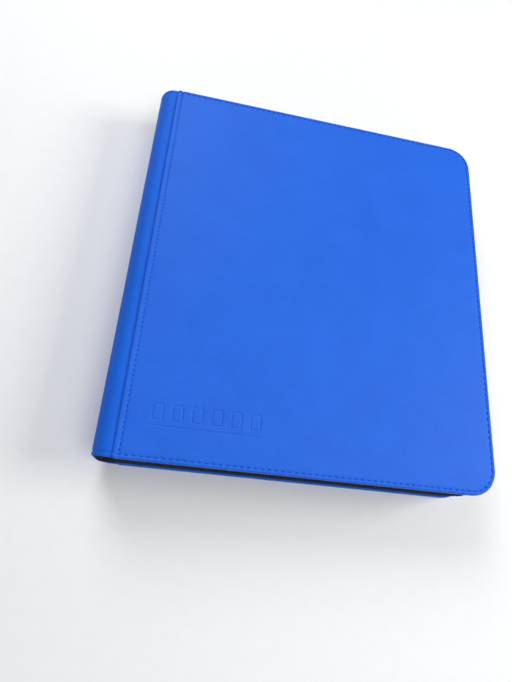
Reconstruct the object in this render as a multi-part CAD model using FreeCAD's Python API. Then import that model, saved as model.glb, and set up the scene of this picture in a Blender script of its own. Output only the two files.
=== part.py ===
"""Zip-around trading card binder, closed and lying on its back cover.

Frame: origin at the middle of the back cover's outer face, on the surface it lies on.
+X runs from the spine to the fore-edge, +Y from the tail to the head, +Z up to the front cover.
The two padded covers and the spine fold about two lines near the spine's outer corners, so the
binder opens flat. Ten pocket leaves are bound to the inside of the spine. A zipper runs round the
other three sides, with its slider parked at the head end of the spine.
"""
import FreeCAD, Part
import math
import os

V = FreeCAD.Vector

# Whole binder
WIDTH = 240.0
HEIGHT = 262.0
THICKNESS = 40.0
CORNER_R = 16.5

# Cover build-up, from the outer face inwards
SKIN = 1.0
FOAM = 2.0
BOARD = 1.6
HEM = 0.6
LINING = 0.4
HEM_WIDTH = 12.0
HINGE_STEP = 0.5
LINING_GAP = 0.3
PANEL_EDGE_R = 2.0

# Spine
LIP_STEP = 1.0
SEAM_OFFSET = 12.0
WRAP_LAP = 5.0
WRAP_R = 9.5
WRAP_INSET = 0.7
WRAP_CORNER_R = 2.0
PIVOT_INSET = 2.0
FOLD_GAP = 0.15
SPINE_FOAM = 1.0
SPINE_BOARD = 2.0
SPINE_LINING = 0.5
BINDING = 1.5
SPINE_BOARD_INSET = 7.0
SPINE_LINING_INSET = 5.0
BINDING_INSET = 10.0
SPINE_BOARD_MARGIN = 7.0
SPINE_LINING_MARGIN = 6.0
BINDING_MARGIN = 6.4
GUSSET_CLEAR = 0.3

# Zipper
TAPE = 0.7
TAPE_INSET = 1.0
TAPE_MARGIN = 5.0
TAPE_START = 1.4
TEETH_THICK = 2.2
TEETH_DEEP = 3.0
CHAIN_GAP = 1.6
TEETH_CAP = 0.3
TEETH_START = 9.0
FRONT_TEETH_HEAD_START = 25.0
STOP_LENGTH = 3.0

# Slider and pull
SLIDER_LENGTH = 12.0
SLIDER_START = 9.3
SLIDER_PLATE = 0.8
SLIDER_CORNER_R = 1.5
SLIDER_CLEAR = 0.25
FLANGE = 0.9
TAPE_SLOT = 1.3
WEB = 0.5
WEB_LENGTH = 3.0
BAIL_RISE = 1.1
BAIL_WALL = 0.6
BAIL_SPAN = 4.4
BAIL_WIDTH = 2.0
PIN_R = 0.45
PULL_LENGTH = 27.0
PULL_WIDTH = 7.0
PULL_THICK = 0.9
PULL_WINDOW = 5.5
PULL_HOLE_R = 1.6
PULL_HOLE_INSET = 5.0
PULL_CORNER_R = 2.5
PULL_ARM_GAP = 0.4

# Leaves
LEAVES = 10
LEAF_PITCH = 2.8
LEAF_WIDTH = 210.0
LEAF_HEIGHT = 236.0
LEAF_CORNER_R = 3.0
BACKING = 0.5
FILM = 0.35
POCKET_DEPTH = 0.45
GUTTER = 22.0
FILM_EDGE = 1.0
WELD = 3.0
MOUTH = 1.5
HINGE_GAP = 0.8
LEAF_EDGE_GAP = 0.2

# Debossed mark on the front cover: a row of plain card outlines over a thin rule
MARK_LEFT = 29.0
MARK_CARDS = 6
CARD_PITCH = 11.2
CARD_WIDE = 6.6
CARD_TALL = 9.6
CARD_LINE = 0.9
CARD_R = 1.2
CARD_BASE = 23.0
RULE_LENGTH = 64.0
RULE_WIDE = 0.6
RULE_BASE = 19.5
DEBOSS = 0.35

# Worked out from the sizes above
HALF_W = WIDTH / 2
HALF_H = HEIGHT / 2
MID_Z = THICKNESS / 2
SEAM_X = -HALF_W + SEAM_OFFSET
SKIN_UNDER = THICKNESS - SKIN
FOAM_UNDER = SKIN_UNDER - FOAM
BOARD_UNDER = FOAM_UNDER - BOARD
HEM_UNDER = BOARD_UNDER - HEM
LINING_UNDER = HEM_UNDER - LINING
WRAP_TOP = THICKNESS - LIP_STEP
WRAP_CENTRE_X = -HALF_W + WRAP_R
WRAP_CENTRE_Z = WRAP_TOP - WRAP_R
PIVOT_X = -HALF_W + PIVOT_INSET
FRONT_PIVOT_Z = WRAP_TOP - PIVOT_INSET
TAPE_X = -HALF_W + TAPE_START
TAPE_Y = HALF_H - TAPE_INSET - TAPE / 2
CHAIN_Z = MID_Z + CHAIN_GAP / 2
LEAF_HINGE_X = -HALF_W + SKIN + SPINE_FOAM + SPINE_BOARD + SPINE_LINING + BINDING + HINGE_GAP
LEAF_X = LEAF_HINGE_X + LEAF_EDGE_GAP

# How far cutting shapes run past what they cut, and how close counts as touching
FAR = 400.0
CUT = 1.0
SLIGHT_CUT = 0.1
TOUCH = 0.001


def save(name, shape):
    """Writes one node's STEP file, after a check that it is sound."""
    if not shape.isValid() or shape.Volume <= 0:
        raise ValueError(name + " is not a sound solid")
    shape.exportStep("parts/" + name + ".step")


def box(x0, x1, y0, y1, z0, z1):
    return Part.makeBox(x1 - x0, y1 - y0, z1 - z0, V(x0, y0, z0))


def to_back(shape):
    """The back cover's copy of a front cover piece."""
    return shape.mirror(V(0, 0, MID_Z), V(0, 0, 1))


def quarter(centre_x, centre_y, radius, start_angle):
    """A quarter-circle edge in plan, counter-clockwise from start_angle in degrees."""
    points = []
    for turn in (0, 45, 90):
        angle = math.radians(start_angle + turn)
        points.append(V(centre_x + radius * math.cos(angle), centre_y + radius * math.sin(angle), 0))
    return Part.Arc(*points).toShape()


def rounded_plate(x0, x1, y0, y1, z0, z1, radii):
    """A plate with corner radii given as (tail fore-edge, head fore-edge, head spine, tail spine)."""
    corners = [
        (x1, y0, -1, 1, -90, radii[0]),
        (x1, y1, -1, -1, 0, radii[1]),
        (x0, y1, 1, -1, 90, radii[2]),
        (x0, y0, 1, 1, 180, radii[3]),
    ]
    edges = []
    starts = []
    ends = []
    arcs = []
    for x, y, in_x, in_y, angle, radius in corners:
        if radius > 0:
            arc = quarter(x + in_x * radius, y + in_y * radius, radius, angle)
            arcs.append(arc)
            starts.append(arc.Vertexes[0].Point)
            ends.append(arc.Vertexes[-1].Point)
        else:
            arcs.append(None)
            starts.append(V(x, y, 0))
            ends.append(V(x, y, 0))
    for i in range(4):
        if arcs[i] is not None:
            edges.append(arcs[i])
        edges.append(Part.LineSegment(ends[i], starts[(i + 1) % 4]).toShape())
    face = Part.Face(Part.Wire(Part.__sortEdges__(edges)))
    face.translate(V(0, 0, z0))
    return face.extrude(V(0, 0, z1 - z0))


def panel(x_left, inset, z0, z1):
    """A cover-shaped plate: square at the spine side, rounded at the fore-edge."""
    radius = CORNER_R - inset
    limit_y = HALF_H - inset
    return rounded_plate(x_left, HALF_W - inset, -limit_y, limit_y, z0, z1, (radius, radius, 0, 0))


def three_side_wall(x_left, inset_out, inset_in, z0, z1):
    """A band that follows the tail, fore-edge and head sides, between two insets."""
    return panel(x_left, inset_out, z0, z1).cut(panel(x_left - CUT, inset_in, z0 - CUT, z1 + CUT))


def upper_rim(shape, x_left):
    """The upper outline edges of a cover plate, without the one at the spine side."""
    found = []
    for edge in shape.Edges:
        box_of = edge.BoundBox
        flat_and_high = box_of.ZMin > THICKNESS - TOUCH
        at_spine = box_of.XMax < x_left + TOUCH
        if flat_and_high and not at_spine:
            found.append(edge)
    return found


def mark_grooves():
    """The grooves of the debossed mark, as solids to cut from the front skin."""
    low = THICKNESS - DEBOSS
    high = THICKNESS + CUT
    base_y = -HALF_H + CARD_BASE
    left = -HALF_W + MARK_LEFT
    grooves = []
    for i in range(MARK_CARDS):
        x0 = left + i * CARD_PITCH
        x1 = x0 + CARD_WIDE
        outer = rounded_plate(x0, x1, base_y, base_y + CARD_TALL, low, high, [CARD_R] * 4)
        inner_r = CARD_R - CARD_LINE / 2
        inner = rounded_plate(
            x0 + CARD_LINE, x1 - CARD_LINE, base_y + CARD_LINE, base_y + CARD_TALL - CARD_LINE,
            low - CUT, high + CUT, [inner_r] * 4,
        )
        grooves.append(outer.cut(inner))
    rule_y = -HALF_H + RULE_BASE
    grooves.append(box(left, left + RULE_LENGTH, rule_y, rule_y + RULE_WIDE, low, high))
    return grooves


def outer_skin(marked):
    """The cover panel's leather skin: face, rim and the hem turned in under the board."""
    body = panel(SEAM_X, 0, HEM_UNDER, THICKNESS)
    body = body.makeFillet(PANEL_EDGE_R, upper_rim(body, SEAM_X))
    core_left = SEAM_X + WRAP_LAP
    cavity = panel(core_left, SKIN, BOARD_UNDER, SKIN_UNDER)
    window = panel(SEAM_X + HEM_WIDTH, HEM_WIDTH, HEM_UNDER - CUT, BOARD_UNDER + SLIGHT_CUT)
    lap = box(SEAM_X - CUT, core_left, -FAR, FAR, BOARD_UNDER, SKIN_UNDER)
    hinge_side = box(
        SEAM_X - CUT, core_left - HINGE_STEP, -FAR, FAR, HEM_UNDER - CUT, BOARD_UNDER + SLIGHT_CUT
    )
    skin = body.cut(cavity).cut(window).cut(lap).cut(hinge_side)
    if marked:
        for groove in mark_grooves():
            skin = skin.cut(groove)
    return skin


def foam_pad():
    return panel(SEAM_X + WRAP_LAP, SKIN, FOAM_UNDER, SKIN_UNDER)


def cover_board():
    return panel(SEAM_X + WRAP_LAP, SKIN, BOARD_UNDER, FOAM_UNDER)


def cover_lining():
    """The lining sheet, with the raised middle that fills the hem's window."""
    inset = TAPE_INSET + TAPE_MARGIN + LINING_GAP
    sheet = panel(SEAM_X + WRAP_LAP - HINGE_STEP, inset, LINING_UNDER, HEM_UNDER)
    middle = panel(SEAM_X + HEM_WIDTH, HEM_WIDTH, HEM_UNDER, BOARD_UNDER)
    return sheet.fuse(middle).removeSplitter()


def zipper_tape():
    """One half of the zipper tape: the sewn margin and the wall that stands between the covers."""
    margin_left = SEAM_X + WRAP_LAP - HINGE_STEP
    margin = three_side_wall(margin_left, TAPE_INSET, TAPE_INSET + TAPE_MARGIN, LINING_UNDER, HEM_UNDER)
    wall = three_side_wall(margin_left, TAPE_INSET, TAPE_INSET + TAPE, CHAIN_Z, LINING_UNDER)
    gusset = three_side_wall(TAPE_X, TAPE_INSET, TAPE_INSET + TAPE, CHAIN_Z, WRAP_TOP)
    gusset = gusset.common(wrap_section(WRAP_R - SKIN - GUSSET_CLEAR, -CUT))
    gusset = gusset.common(box(-FAR, margin_left, -FAR, FAR, 0, FOAM_UNDER))
    return wall.fuse(margin).fuse(gusset).removeSplitter()


def teeth_row(head_start):
    """One row of the zipper coil, cupped round the tape's edge. It starts later at the head."""
    centre = TAPE_INSET + TAPE / 2
    inset_out = centre - TEETH_THICK / 2
    inset_in = centre + TEETH_THICK / 2
    start = -HALF_W + TEETH_START
    row = three_side_wall(start, inset_out, inset_in, CHAIN_Z - TEETH_CAP, CHAIN_Z - TEETH_CAP + TEETH_DEEP)
    row = row.cut(three_side_wall(start - CUT, TAPE_INSET, TAPE_INSET + TAPE, CHAIN_Z, FAR))
    return row.cut(box(-FAR, -HALF_W + head_start, 0, FAR, 0, FAR))


def end_stop(x_start, side):
    """A small clip over one tape edge at the end of a teeth row. side is 1 at the head, -1 at the tail."""
    half = TEETH_THICK / 2
    y = side * TAPE_Y
    z0 = CHAIN_Z - TEETH_CAP
    clip = box(x_start, x_start + STOP_LENGTH, y - half, y + half, z0, z0 + TEETH_DEEP)
    slot = box(x_start - CUT, x_start + STOP_LENGTH + CUT, y - TAPE / 2, y + TAPE / 2, CHAIN_Z, FAR)
    return clip.cut(slot)


def wrap_section(radius, y_inset):
    """The solid inside the spine wrap's outline: rounded above and below, square to the seam side."""
    limit_y = HALF_H - WRAP_INSET - y_inset
    x_left = WRAP_CENTRE_X - radius
    z0 = THICKNESS - WRAP_CENTRE_Z - radius
    z1 = WRAP_CENTRE_Z + radius
    block = box(x_left, SEAM_X + WRAP_LAP, -limit_y, limit_y, z0, z1)
    long_edges = []
    for edge in block.Edges:
        extent = edge.BoundBox
        if extent.YLength > limit_y and extent.XMax < x_left + TOUCH:
            long_edges.append(edge)
    return block.makeFillet(radius, long_edges)


def fold_half_space(pivot_z, sign, gap):
    """Everything past the plane through a fold line and the wrap's centre line, less a small gap."""
    shift = gap * math.sqrt(2)
    points = [
        V(PIVOT_X - FAR, 0, pivot_z + sign * (FAR + shift)),
        V(PIVOT_X + FAR, 0, pivot_z + sign * (-FAR + shift)),
        V(PIVOT_X + FAR, 0, pivot_z + sign * (2 * FAR + shift)),
    ]
    face = Part.Face(Part.makePolygon(points + [points[0]]))
    face.translate(V(0, -FAR, 0))
    return face.extrude(V(0, 2 * FAR, 0))


def wrap_plan():
    """The wrap's plan outline: its two spine corners are rounded."""
    limit_y = HALF_H - WRAP_INSET
    radii = (0, 0, WRAP_CORNER_R, WRAP_CORNER_R)
    return rounded_plate(-HALF_W, SEAM_X + WRAP_LAP, -limit_y, limit_y, -CUT, THICKNESS + CUT, radii)


def whole_wrap():
    """The spine wrap in one piece, before it is divided at the two fold lines."""
    outer = wrap_section(WRAP_R, 0).common(wrap_plan())
    hollow = wrap_section(WRAP_R - SKIN, -CUT)
    inside = box(WRAP_CENTRE_X, FAR, -FAR, FAR, THICKNESS - WRAP_TOP + SKIN, WRAP_TOP - SKIN)
    return outer.cut(hollow).cut(inside)


def above_front_fold():
    return fold_half_space(FRONT_PIVOT_Z, 1, FOLD_GAP)


def front_wrap():
    """The part of the wrap that turns with the front cover: visible strip and doubled lap."""
    strip = whole_wrap().common(above_front_fold())
    limit_y = HALF_H - WRAP_INSET
    doubled = box(SEAM_X, SEAM_X + WRAP_LAP, -limit_y, limit_y, FOAM_UNDER, WRAP_TOP - SKIN)
    return strip.fuse(doubled).removeSplitter()


def spine_wrap():
    """The part of the wrap that stays on the spine, between the two folds."""
    upper = fold_half_space(FRONT_PIVOT_Z, 1, -FOLD_GAP)
    return whole_wrap().cut(upper).cut(to_back(upper))


def spine_layer(x0, thick, inset, z_margin):
    limit_y = HALF_H - inset
    return box(x0, x0 + thick, -limit_y, limit_y, z_margin, THICKNESS - z_margin)


def slider_body():
    """The slider: two plates, four flanges round the tapes, the web between the rows and the bail."""
    x0 = -HALF_W + SLIDER_START
    x1 = x0 + SLIDER_LENGTH
    half = TEETH_THICK / 2 + SLIDER_CLEAR
    channel = TEETH_DEEP - TEETH_CAP + CHAIN_GAP / 2 + SLIDER_CLEAR
    top = MID_Z + channel + FLANGE
    low = MID_Z - channel - FLANGE
    outside = TAPE_Y + half + SLIDER_PLATE
    inside = TAPE_Y - half - SLIDER_PLATE
    block = box(x0, x1, inside, outside, low, top)
    corners = []
    for edge in block.Edges:
        if edge.BoundBox.YLength > SLIDER_PLATE:
            corners.append(edge)
    block = block.makeFillet(SLIDER_CORNER_R, corners)
    block = block.cut(box(x0 - CUT, x1 + CUT, TAPE_Y - half, TAPE_Y + half, MID_Z - channel, MID_Z + channel))
    slot = TAPE_SLOT / 2
    block = block.cut(box(x0 - CUT, x1 + CUT, TAPE_Y - slot, TAPE_Y + slot, low - CUT, top + CUT))
    web = box(x0, x0 + WEB_LENGTH, TAPE_Y - half, TAPE_Y + half, MID_Z - WEB / 2, MID_Z + WEB / 2)
    bail_x = x0 + SLIDER_LENGTH / 2
    bail_top = outside + BAIL_RISE + BAIL_WALL
    half_width = BAIL_WIDTH / 2
    bail = box(bail_x - BAIL_SPAN / 2, bail_x + BAIL_SPAN / 2, outside, bail_top,
               MID_Z - half_width, MID_Z + half_width)
    eye = box(bail_x - BAIL_SPAN / 2 + BAIL_WALL, bail_x + BAIL_SPAN / 2 - BAIL_WALL,
              outside, outside + BAIL_RISE, MID_Z - FAR, MID_Z + FAR)
    return block.fuse(web).fuse(bail.cut(eye)).removeSplitter()


def pull_pin():
    """The pull's turning axis: x and y of the pin that sits under the bail."""
    outside = TAPE_Y + TEETH_THICK / 2 + SLIDER_CLEAR + SLIDER_PLATE
    return -HALF_W + SLIDER_START + SLIDER_LENGTH / 2, outside + BAIL_RISE / 2


def zipper_pull():
    """The flat pull: its end bar is the pin, and its window clears the bail's legs."""
    x, y = pull_pin()
    z0 = MID_Z - PULL_WIDTH / 2
    z1 = MID_Z + PULL_WIDTH / 2
    plate = box(x, x + PULL_LENGTH, y - PULL_THICK / 2, y + PULL_THICK / 2, z0, z1)
    far_corners = []
    for edge in plate.Edges:
        extent = edge.BoundBox
        if extent.YLength > PULL_THICK / 2 and extent.XMin > x + PULL_WINDOW:
            far_corners.append(edge)
    plate = plate.makeFillet(PULL_CORNER_R, far_corners)
    arm = (PULL_WIDTH - BAIL_WIDTH) / 2 - PULL_ARM_GAP
    window = box(x - CUT, x + PULL_WINDOW, y - CUT, y + CUT, z0 + arm, z1 - arm)
    hole_at = V(x + PULL_LENGTH - PULL_HOLE_INSET, y - CUT, MID_Z)
    hole = Part.makeCylinder(PULL_HOLE_R, 2 * CUT, hole_at, V(0, 1, 0))
    pin = Part.makeCylinder(PIN_R, PULL_WIDTH, V(x, y, z0), V(0, 0, 1))
    return plate.cut(window).cut(hole).fuse(pin).removeSplitter()


def leaf_z(index):
    """Height of a leaf's middle plane. Leaf 0 is next to the back cover."""
    return MID_Z + (index - (LEAVES - 1) / 2) * LEAF_PITCH


def leaf_backing(z):
    limit_y = LEAF_HEIGHT / 2
    radii = (LEAF_CORNER_R, LEAF_CORNER_R, 0, 0)
    half = BACKING / 2
    return rounded_plate(LEAF_X, LEAF_X + LEAF_WIDTH, -limit_y, limit_y, z - half, z + half, radii)


def pocket_film(z, side):
    """The clear film on one side of a leaf, welded to the backing round two by two pockets.

    Every pocket is open towards the gutter. side is 1 above the backing and -1 below it.
    """
    x0 = LEAF_X + GUTTER
    x1 = LEAF_X + LEAF_WIDTH - FILM_EDGE
    limit_y = LEAF_HEIGHT / 2 - FILM_EDGE
    column = (x1 - x0 - 2 * WELD - MOUTH) / 2
    face0 = BACKING / 2
    face1 = face0 + POCKET_DEPTH
    film = box(x0, x1, -limit_y, limit_y, face1, face1 + FILM)
    for y in (-limit_y, -WELD / 2, limit_y - WELD):
        film = film.fuse(box(x0, x1, y, y + WELD, face0, face1))
    middle = x0 + column
    for x in (middle, x1 - WELD):
        film = film.fuse(box(x, x + WELD, -limit_y, limit_y, face0, face1))
    for y0, y1 in ((-limit_y + WELD, -WELD / 2), (WELD / 2, limit_y - WELD)):
        slit = box(middle + WELD, middle + WELD + MOUTH, y0, y1, face1 - SLIGHT_CUT, face1 + FILM + CUT)
        film = film.cut(slit)
    film = film.removeSplitter()
    if side < 0:
        film = film.mirror(V(0, 0, 0), V(0, 0, 1))
    film.translate(V(0, 0, z))
    return film


def make_covers():
    save("front_outer_skin", outer_skin(True))
    save("back_outer_skin", to_back(outer_skin(False)))
    pieces = {
        "foam_pad": foam_pad(),
        "board": cover_board(),
        "lining": cover_lining(),
        "zipper_tape": zipper_tape(),
        "spine_wrap": front_wrap(),
    }
    for name, shape in pieces.items():
        save("front_" + name, shape)
        save("back_" + name, to_back(shape))


def make_spine():
    x = -HALF_W + SKIN
    save("spine_wrap", spine_wrap())
    save("spine_foam_pad", spine_layer(x, SPINE_FOAM, SPINE_BOARD_INSET, THICKNESS - WRAP_CENTRE_Z))
    x += SPINE_FOAM
    save("spine_board", spine_layer(x, SPINE_BOARD, SPINE_BOARD_INSET, SPINE_BOARD_MARGIN))
    x += SPINE_BOARD
    save("spine_lining", spine_layer(x, SPINE_LINING, SPINE_LINING_INSET, SPINE_LINING_MARGIN))
    x += SPINE_LINING
    save("page_binding_strip", spine_layer(x, BINDING, BINDING_INSET, BINDING_MARGIN))


def make_zipper():
    front = teeth_row(FRONT_TEETH_HEAD_START)
    back = to_back(teeth_row(TEETH_START))
    save("front_zipper_teeth", front)
    save("back_zipper_teeth", back)
    outer_x = -HALF_W + TEETH_START - STOP_LENGTH
    save("front_bottom_stop", end_stop(outer_x, -1))
    save("back_bottom_stop", to_back(end_stop(outer_x, -1)))
    save("front_top_stop", end_stop(-HALF_W + FRONT_TEETH_HEAD_START - STOP_LENGTH, 1))
    save("back_top_stop", to_back(end_stop(outer_x, 1)))
    save("zipper_slider", slider_body())
    save("zipper_pull", zipper_pull())


def make_leaves():
    for index in range(LEAVES):
        z = leaf_z(index)
        name = "leaf_%02d_" % (index + 1)
        save(name + "backing", leaf_backing(z))
        save(name + "upper_pockets", pocket_film(z, 1))
        save(name + "lower_pockets", pocket_film(z, -1))


def main():
    os.makedirs("parts", exist_ok=True)
    make_covers()
    make_spine()
    make_zipper()
    make_leaves()


main()
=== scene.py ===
"""Looks of the zip-around trading card binder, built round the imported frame. Lengths are in metres."""

import bisect
import math

import bmesh
import bpy
from mathutils import Matrix, Vector, noise


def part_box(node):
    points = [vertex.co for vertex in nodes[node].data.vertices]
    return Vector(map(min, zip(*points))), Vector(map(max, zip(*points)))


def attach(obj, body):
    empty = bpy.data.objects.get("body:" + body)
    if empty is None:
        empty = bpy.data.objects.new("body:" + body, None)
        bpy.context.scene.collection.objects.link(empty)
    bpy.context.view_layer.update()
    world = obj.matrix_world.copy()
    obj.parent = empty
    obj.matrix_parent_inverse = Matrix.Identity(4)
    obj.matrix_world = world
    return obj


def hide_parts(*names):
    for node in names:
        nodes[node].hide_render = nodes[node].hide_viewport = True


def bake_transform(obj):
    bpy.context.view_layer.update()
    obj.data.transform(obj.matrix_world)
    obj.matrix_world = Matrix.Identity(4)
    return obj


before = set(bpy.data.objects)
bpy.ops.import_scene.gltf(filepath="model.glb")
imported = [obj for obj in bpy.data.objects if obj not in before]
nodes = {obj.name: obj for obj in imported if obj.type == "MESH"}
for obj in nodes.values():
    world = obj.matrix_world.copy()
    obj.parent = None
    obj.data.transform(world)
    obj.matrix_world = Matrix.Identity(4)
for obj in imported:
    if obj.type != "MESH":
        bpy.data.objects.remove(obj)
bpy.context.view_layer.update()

MM = 0.001

# ---- places read from the frame ----
skin_low, skin_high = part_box("front_outer_skin")
wrap_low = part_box("spine_wrap")[0]
tape_low, tape_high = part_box("front_zipper_tape")
lining_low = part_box("front_lining")[0]
HALF_H = skin_high.y
FORE_X = skin_high.x
SEAM_X = skin_low.x
SPINE_X = wrap_low.x
TOP_Z = skin_high.z
MID_Z = TOP_Z / 2
HEM_Z = skin_low.z
LINING_Z = lining_low.z
CORNER_R = 16.5 * MM
CENTRE_X = FORE_X - CORNER_R  # of the corner at the head, which the tail mirrors
CENTRE_Y = HALF_H - CORNER_R

# ---- sizes shared by the leather pieces ----
FRONT_CROWN = 0.6 * MM
BACK_CROWN = 0.5 * MM
EDGE_STITCH = 2.4 * MM  # in from the outline
SEAM_STITCH = 3.5 * MM  # in from the spine seam
EDGE_PITCH = 3.95 * MM
SEAM_PITCH = 3.0 * MM
EDGE_START = 1.6 * MM  # of the edge stitches, from the seam
SEAM_END = 3.4 * MM  # of the seam stitches, from head and tail
SEAM_CORNER_R = 1.6 * MM
WAVE = 0.10 * MM
GROOVE_WIDE = 0.6 * MM
WRAP_END = 130.6 * MM
WRAP_R = 9.5 * MM
STRIP_Z = TOP_Z - 1.25 * MM

# ---- shared helpers ----


def add(name, verts, faces, material):
    """A new mesh object from points and faces."""
    mesh = bpy.data.meshes.new(name)
    mesh.from_pydata([tuple(v) for v in verts], [], [tuple(f) for f in faces])
    mesh.validate()
    obj = bpy.data.objects.new(name, mesh)
    bpy.context.scene.collection.objects.link(obj)
    mesh.materials.append(material)
    mesh.shade_smooth()
    return obj


def fix_normals(obj):
    """Turns all faces of a piece to the same side."""
    work = bmesh.new()
    work.from_mesh(obj.data)
    bmesh.ops.recalc_face_normals(work, faces=work.faces)
    work.to_mesh(obj.data)
    work.free()


def solidify(obj, thickness):
    """Gives a sheet its thickness, half to each side."""
    modifier = obj.modifiers.new("thickness", "SOLIDIFY")
    modifier.thickness = thickness
    modifier.offset = 0.0
    apply_modifiers(obj)


def apply_modifiers(obj):
    """Bakes the modifiers of a piece into its mesh."""
    graph = bpy.context.evaluated_depsgraph_get()
    bpy.context.view_layer.update()
    mesh = bpy.data.meshes.new_from_object(obj.evaluated_get(graph))
    obj.modifiers.clear()
    obj.data = mesh


def grid_faces(columns, rows):
    """Quads of a grid whose points are listed row by row."""
    corners = [j * columns + i for j in range(rows - 1) for i in range(columns - 1)]
    return [(a, a + 1, a + columns + 1, a + columns) for a in corners]


def mirror(verts):
    """Turns the points of an upper piece into those of its lower twin."""
    for vert in verts:
        vert[2] = TOP_Z - vert[2]


def quarter_drop(t):
    """Fall of a quarter circle of radius 1: none at 0, and 1 at its end."""
    return 1 - math.sqrt(max(0.0, 1 - t * t))


def bell(distance, width):
    """A smooth hump: 1 in its middle, fading out over its width."""
    return math.exp(-(distance / width) ** 2)


def unevenness(x, y, per_metre, layer):
    """Smooth noise over the plan, between about -1 and 1."""
    return noise.noise(Vector((x * per_metre, y * per_metre, layer)))


# ---- materials ----
def new_material(name):
    """A node material with its node tree and its shader."""
    material = bpy.data.materials.new(name)
    material.use_nodes = True
    tree = material.node_tree
    shader = tree.nodes["Principled BSDF"]
    return material, tree, shader


def node(tree, kind, **values):
    """A new node with some of its sockets or settings filled in."""
    made = tree.nodes.new(kind)
    for key, value in values.items():
        if key in made.inputs:
            made.inputs[key].default_value = value
        else:
            setattr(made, key, value)
    return made


def texture(tree, kind, **values):
    """A texture node that lies on the piece's own coordinates, in metres."""
    made = node(tree, "ShaderNodeTex" + kind, **values)
    tree.links.new(node(tree, "ShaderNodeTexCoord").outputs["Object"], made.inputs["Vector"])
    return made


def map_range(tree, value, limits):
    """A value stretched from some limits to others."""
    made = node(tree, "ShaderNodeMapRange", **limits)
    tree.links.new(value, made.inputs["Value"])
    return made.outputs["Result"]


def ramp(tree, factor, low, high, low_at=0.0, high_at=1.0):
    """A colour that runs from one to another as a factor grows."""
    made = node(tree, "ShaderNodeValToRGB")
    made.color_ramp.elements[0].position = low_at
    made.color_ramp.elements[0].color = low
    made.color_ramp.elements[1].position = high_at
    made.color_ramp.elements[1].color = high
    tree.links.new(factor, made.inputs["Fac"])
    return made.outputs["Color"]


def bump(tree, height, strength, distance, normal=None):
    """A relief over the surface, or over another relief."""
    made = node(tree, "ShaderNodeBump")
    made.inputs["Strength"].default_value = strength
    made.inputs["Distance"].default_value = distance
    tree.links.new(height, made.inputs["Height"])
    if normal is not None:
        tree.links.new(normal, made.inputs["Normal"])
    return made.outputs["Normal"]


def finish(tree, shader, colour, normal, values):
    """Links a material's colour and relief to its shader and sets what is uniform."""
    tree.links.new(colour, shader.inputs["Base Color"])
    tree.links.new(normal, shader.inputs["Normal"])
    for name, value in values.items():
        shader.inputs[name].default_value = value


def leather_material(name, base, dark, specular=0.25):
    """Semi-matt PU leather: fine embossed grain, faint mottling and slightly uneven gloss."""
    material, tree, shader = new_material(name)
    grains = texture(tree, "Voronoi", feature="DISTANCE_TO_EDGE", Scale=1000.0)
    fine = texture(tree, "Noise", Scale=2600.0, Detail=3.0)
    mottle = texture(tree, "Noise", Scale=38.0, Detail=4.0, Roughness=0.6)
    pores = map_range(tree, grains.outputs["Distance"], {"From Max": 0.14})
    gloss = map_range(tree, mottle.outputs["Fac"], {"To Min": 0.46, "To Max": 0.58})
    tree.links.new(gloss, shader.inputs["Roughness"])
    colour = ramp(tree, mottle.outputs["Fac"], dark, base, low_at=0.30, high_at=0.62)
    normal = bump(tree, pores, strength=0.5, distance=0.00015)
    normal = bump(tree, fine.outputs["Fac"], strength=0.3, distance=0.0001, normal=normal)
    finish(tree, shader, colour, normal, {"Specular IOR Level": specular})
    return material


def cloth_material(name, base, light, per_metre, sheen, specular):
    """A fine woven cloth with a crossed thread pattern."""
    material, tree, shader = new_material(name)
    weave = node(tree, "ShaderNodeMath", operation="MAXIMUM")
    for socket, direction in enumerate("XY"):
        wave = texture(tree, "Wave", bands_direction=direction, Scale=per_metre, Distortion=0.6)
        wave.inputs["Detail Scale"].default_value = 3.0
        tree.links.new(wave.outputs["Fac"], weave.inputs[socket])
    fuzz = texture(tree, "Noise", Scale=900.0, Detail=4.0)
    colour = ramp(tree, fuzz.outputs["Fac"], base, light, low_at=0.35, high_at=0.75)
    normal = bump(tree, weave.outputs["Value"], strength=0.5, distance=0.0002)
    normal = bump(tree, fuzz.outputs["Fac"], strength=0.25, distance=0.0001, normal=normal)
    values = {"Roughness": 0.86, "Sheen Weight": sheen, "Specular IOR Level": specular}
    finish(tree, shader, colour, normal, values)
    return material


def plastic_material(name, base, light, roughness, grain_scale, grain_strength, specular=0.5):
    """A moulded or extruded plastic with a fine surface texture."""
    material, tree, shader = new_material(name)
    grain = texture(tree, "Noise", Scale=grain_scale, Detail=3.0)
    broad = texture(tree, "Noise", Scale=30.0, Detail=2.0)
    colour = ramp(tree, broad.outputs["Fac"], base, light, low_at=0.3, high_at=0.7)
    normal = bump(tree, grain.outputs["Fac"], strength=grain_strength, distance=0.0001)
    finish(tree, shader, colour, normal, {"Roughness": roughness, "Specular IOR Level": specular})
    return material


def thread_material(name, base, light):
    """Bonded sewing thread with a tight twist."""
    material, tree, shader = new_material(name)
    twist = texture(tree, "Wave", bands_direction="DIAGONAL", Scale=900.0)
    colour = ramp(tree, twist.outputs["Fac"], base, light)
    normal = bump(tree, twist.outputs["Fac"], strength=0.5, distance=0.0001)
    finish(tree, shader, colour, normal, {"Roughness": 0.8, "Specular IOR Level": 0.15})
    return material


def metal_material(name, base, light):
    """Black lacquered zinc with rubbed edges."""
    material, tree, shader = new_material(name)
    wear = texture(tree, "Noise", Scale=450.0, Detail=5.0)
    colour = ramp(tree, wear.outputs["Fac"], base, light, low_at=0.45, high_at=0.75)
    normal = bump(tree, wear.outputs["Fac"], strength=0.12, distance=0.0001)
    finish(tree, shader, colour, normal, {"Metallic": 0.75, "Roughness": 0.32})
    return material


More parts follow.
